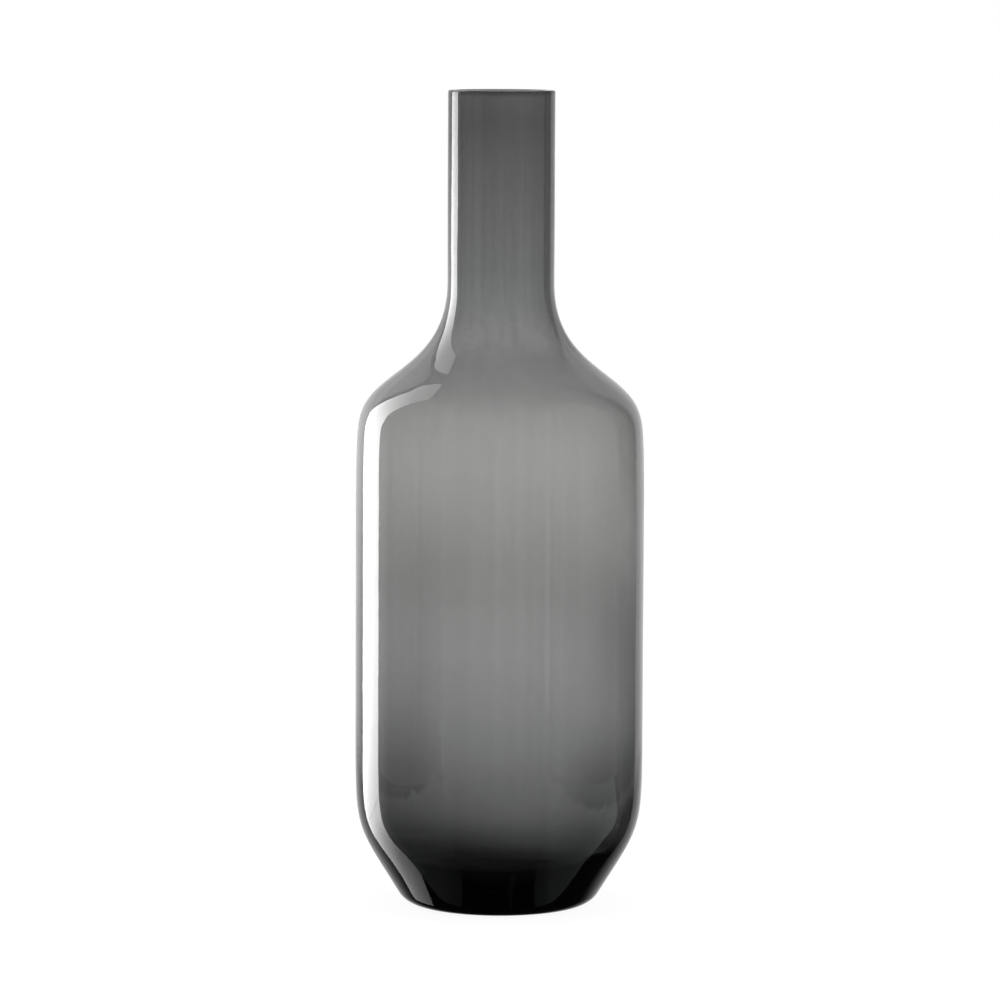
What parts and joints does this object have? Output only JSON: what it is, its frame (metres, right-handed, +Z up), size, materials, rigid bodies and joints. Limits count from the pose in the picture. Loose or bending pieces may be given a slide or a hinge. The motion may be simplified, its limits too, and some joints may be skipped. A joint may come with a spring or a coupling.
{
  "type": "bottle vase",
  "caption": "Tall bottle vase of smoked glass with a straight narrow neck, flared shoulder, round straight belly, drawn-in heel and thick dark base, for cut stems.",
  "frame": {"origin": "middle of the underside, on the surface that the vase stands on", "axes": "+Z up along the vase's axis of turning, through the middle of the mouth; X and Y are alike"},
  "size_m": [0.138, 0.138, 0.39],
  "materials": {
    "smoked_glass": "fire-polished, clear, neutral smoke grey, darker where the glass is thicker"
  },
  "bodies": {
    "root": {"lip": "smoked_glass", "neck": "smoked_glass", "collar": "smoked_glass", "shoulder": "smoked_glass", "belly": "smoked_glass", "heel": "smoked_glass", "base": "smoked_glass"}
  },
  "joints": []
}
